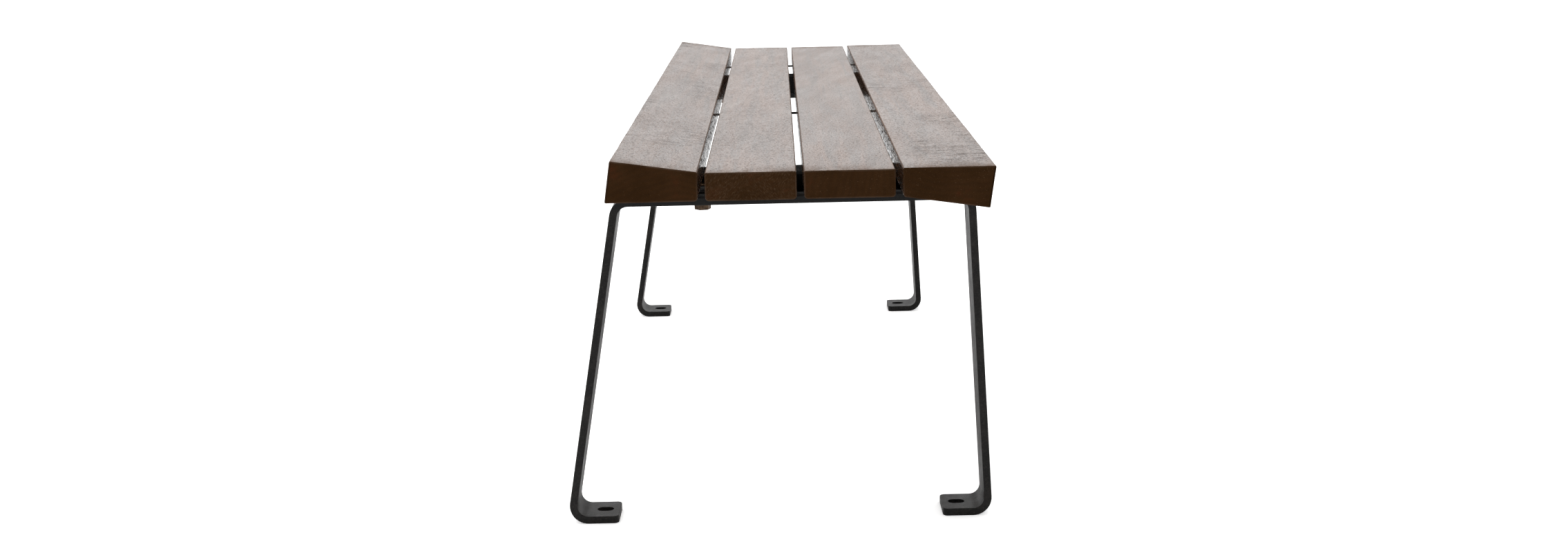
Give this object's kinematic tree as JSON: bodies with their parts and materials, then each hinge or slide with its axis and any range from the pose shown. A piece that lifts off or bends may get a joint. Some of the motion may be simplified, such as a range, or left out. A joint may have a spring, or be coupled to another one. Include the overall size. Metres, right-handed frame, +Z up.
{
  "type": "backless bench",
  "caption": "Backless street bench: long timber slats, the edge ones wedge-shaped, on bent flat-bar steel leg frames with slotted feet.",
  "frame": {"origin": "on the floor, under the middle of the base (bottom centre of the bounding box)", "axes": "+Z up; +Y along the slats, from the front leg frame to the rear one; +X across the seat, towards the edge slat with the level top"},
  "size_m": [0.504, 1.5, 0.4644],
  "materials": {
    "slat_timber": "oiled dark brown hardwood, fine pores, worn sheen",
    "frame_paint": "charcoal powder coat over flat bar",
    "saddle_paint": "black powder coat",
    "tie_paint": "dark grey powder coat",
    "bolt_steel": "weathered brown steel",
    "fastener_zinc": "black zinc plate"
  },
  "bodies": {
    "root": {"slat_left_edge": "slat_timber", "slat_left_inner": "slat_timber", "slat_right_inner": "slat_timber", "slat_right_edge": "slat_timber", "leg_frame_front": "frame_paint", "saddle_front": "saddle_paint", "frame_bolts_front": "bolt_steel", "frame_washers_front": "fastener_zinc", "frame_nuts_front": "fastener_zinc", "slat_screws_front": "fastener_zinc", "leg_frame_rear": "frame_paint", "saddle_rear": "saddle_paint", "frame_bolts_rear": "bolt_steel", "frame_washers_rear": "fastener_zinc", "frame_nuts_rear": "fastener_zinc", "slat_screws_rear": "fastener_zinc", "tie_strip_front": "tie_paint", "tie_screws_front": "fastener_zinc", "tie_strip_middle": "tie_paint", "tie_screws_middle": "fastener_zinc", "tie_strip_rear": "tie_paint", "tie_screws_rear": "fastener_zinc"}
  },
  "joints": []
}
